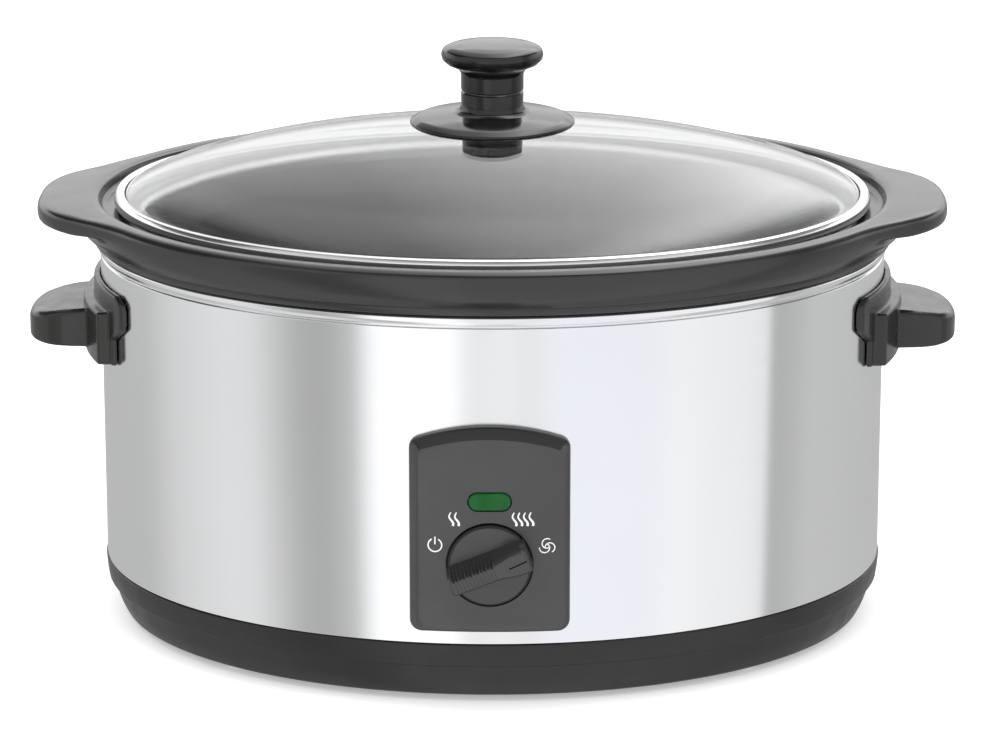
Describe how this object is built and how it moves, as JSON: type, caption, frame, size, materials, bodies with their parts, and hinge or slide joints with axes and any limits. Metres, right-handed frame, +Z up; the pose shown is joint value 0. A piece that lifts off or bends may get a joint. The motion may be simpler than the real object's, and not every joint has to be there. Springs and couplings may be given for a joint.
{
  "type": "slow cooker",
  "caption": "Oval slow cooker: steel outer shell on a stepped black base, lift-out stoneware crock with lugs, domed glass lid with knob, side handles and a front rotary control.",
  "frame": {"origin": "middle of the footprint, on the surface that the feet stand on", "axes": "+X to the viewer's right along the oval's length, -Y out of the control panel at the front, +Z up"},
  "size_m": [0.396, 0.31, 0.2485],
  "materials": {
    "polished_steel": "polished stainless sheet",
    "band_steel": "bright rolled stainless",
    "black_plastic": "satin phenolic",
    "dial_plastic": "satin",
    "gloss_black": "gloss phenolic",
    "panel_grey": "fine satin",
    "black_glaze": "opaque glazed stoneware",
    "clear_glass": "clear tempered glass",
    "green_lens": "tinted lens",
    "aluminium": "drawn sheet",
    "heater_wrap": "mica and glass cloth wrap",
    "rubber": "matt",
    "zinc_screw": "zinc plated",
    "white_nylon": "moulded",
    "lamp_glass": "clear",
    "lead_sleeve": "silicone and glass sleeve"
  },
  "bodies": {
    "root": {"base_moulding": "black_plastic", "bottom_cover": "black_plastic", "control_panel": "panel_grey", "cord_gland": "rubber", "cover_screw_1": "zinc_screw", "cover_screw_2": "zinc_screw", "cover_screw_3": "zinc_screw", "cover_screw_4": "zinc_screw", "cutout_bracket": "aluminium", "foot_front_left": "rubber", "foot_front_right": "rubber", "foot_rear_left": "rubber", "foot_rear_right": "rubber", "handle_left": "black_plastic", "handle_right": "black_plastic", "handle_screw_left_front": "zinc_screw", "handle_screw_left_rear": "zinc_screw", "handle_screw_right_front": "zinc_screw", "handle_screw_right_rear": "zinc_screw", "heat_reflector": "aluminium", "heater_band": "heater_wrap", "heating_well": "aluminium", "indicator_lens": "green_lens", "inlet_housing": "black_plastic", "lamp_holder": "white_nylon", "lead_heater": "lead_sleeve", "lead_lamp": "lead_sleeve", "lead_switch": "lead_sleeve", "neon_lamp": "lamp_glass", "outer_shell": "polished_steel", "panel_screw_lower_left": "zinc_screw", "panel_screw_lower_right": "zinc_screw", "panel_screw_upper_left": "zinc_screw", "panel_screw_upper_right": "zinc_screw", "rotary_switch": "white_nylon", "terminal_block": "white_nylon", "thermal_cutout": "lamp_glass", "tie_bolt": "zinc_screw"},
    "dial": {"control_dial": "dial_plastic", "dial_shaft": "zinc_screw"},
    "crock": {"crock": "black_glaze"},
    "lid": {"lid_glass": "clear_glass", "lid_band": "band_steel", "lid_knob": "gloss_black", "knob_collar": "gloss_black", "knob_washer": "gloss_black", "knob_screw": "zinc_screw"}
  },
  "joints": [
    {"name": "dial_turn", "type": "hinge", "parent": "root", "child": "dial", "pos_m": [0, -0.1355, 0.0634], "axis": [0, -1, 0], "range_deg": [0, 143]},
    {"name": "crock_lift", "type": "slide", "parent": "root", "child": "crock", "axis": [0, 0, 1], "range_m": [0, 0.16]},
    {"name": "lid_lift", "type": "slide", "parent": "crock", "child": "lid", "axis": [0, 0, 1], "range_m": [0, 0.08]}
  ]
}
